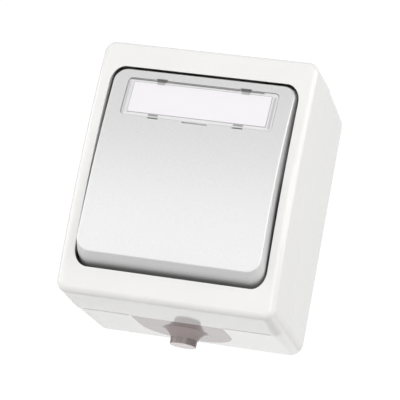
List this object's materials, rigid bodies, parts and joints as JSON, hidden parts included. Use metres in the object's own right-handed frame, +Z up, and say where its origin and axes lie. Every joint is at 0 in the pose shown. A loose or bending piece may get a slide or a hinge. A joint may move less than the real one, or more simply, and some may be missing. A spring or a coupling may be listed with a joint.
{
  "type": "doorbell push button",
  "caption": "Surface-mounted bell push: white box and convex cover, silver rocker tilted at rest with a clipped label window, grey cable grommet below, spring-loaded contact insert inside.",
  "frame": {"origin": "centre of the wall box's flat back, where it lies on the wall", "axes": "+Y into the wall, -Y towards the user, +Z up, +X to the right seen from the front"},
  "size_m": [0.066, 0.0532, 0.0824],
  "materials": {
    "white_plastic": "glossy moulded white",
    "silver_lacquer": "silver metallic lacquer on plastic",
    "clear_plastic": "clear, polished",
    "card": "matt white label card",
    "grey_elastomer": "satin grey",
    "seal_rubber": "matt black",
    "insert_plastic": "moulded grey",
    "carrier_plastic": "moulded natural",
    "brass": "drawn and stamped",
    "contact_silver": "silver-faced contact",
    "zinc_steel": "zinc plated",
    "spring_steel": "drawn spring wire"
  },
  "bodies": {
    "housing": {"base_box": "white_plastic", "cable_grommet": "grey_elastomer", "front_cover": "white_plastic", "cover_seal": "seal_rubber", "cover_screws": "zinc_steel", "contact_block": "insert_plastic", "block_lid": "insert_plastic", "block_rivets": "brass", "block_screws": "zinc_steel", "terminal_left": "brass", "terminal_right": "brass", "terminal_screws": "zinc_steel", "fixed_contact_left": "brass", "fixed_contact_right": "brass", "fixed_rivets": "contact_silver", "return_spring": "spring_steel"},
    "rocker": {"rocker_button": "silver_lacquer", "label_card": "card", "label_window": "clear_plastic", "rocker_carrier": "carrier_plastic"},
    "plunger": {"plunger": "carrier_plastic", "contact_bridge": "brass", "bridge_rivets": "contact_silver"}
  },
  "joints": [
    {"name": "rocker_press", "type": "hinge", "parent": "housing", "child": "rocker", "pos_m": [0, -0.03, 0], "axis": [1, 0, 0], "range_deg": [0, 8], "stiffness_Nm_per_rad": 0.3, "springref_deg": -6.88},
    {"name": "plunger_slide", "type": "slide", "parent": "housing", "child": "plunger", "axis": [0, 1, 0], "range_m": [0, 0.0016], "deforming": ["return_spring"]}
  ],
  "couplings": [
    {"joint": "plunger_slide", "follows": "rocker_press", "m_per_rad": 0.011}
  ]
}
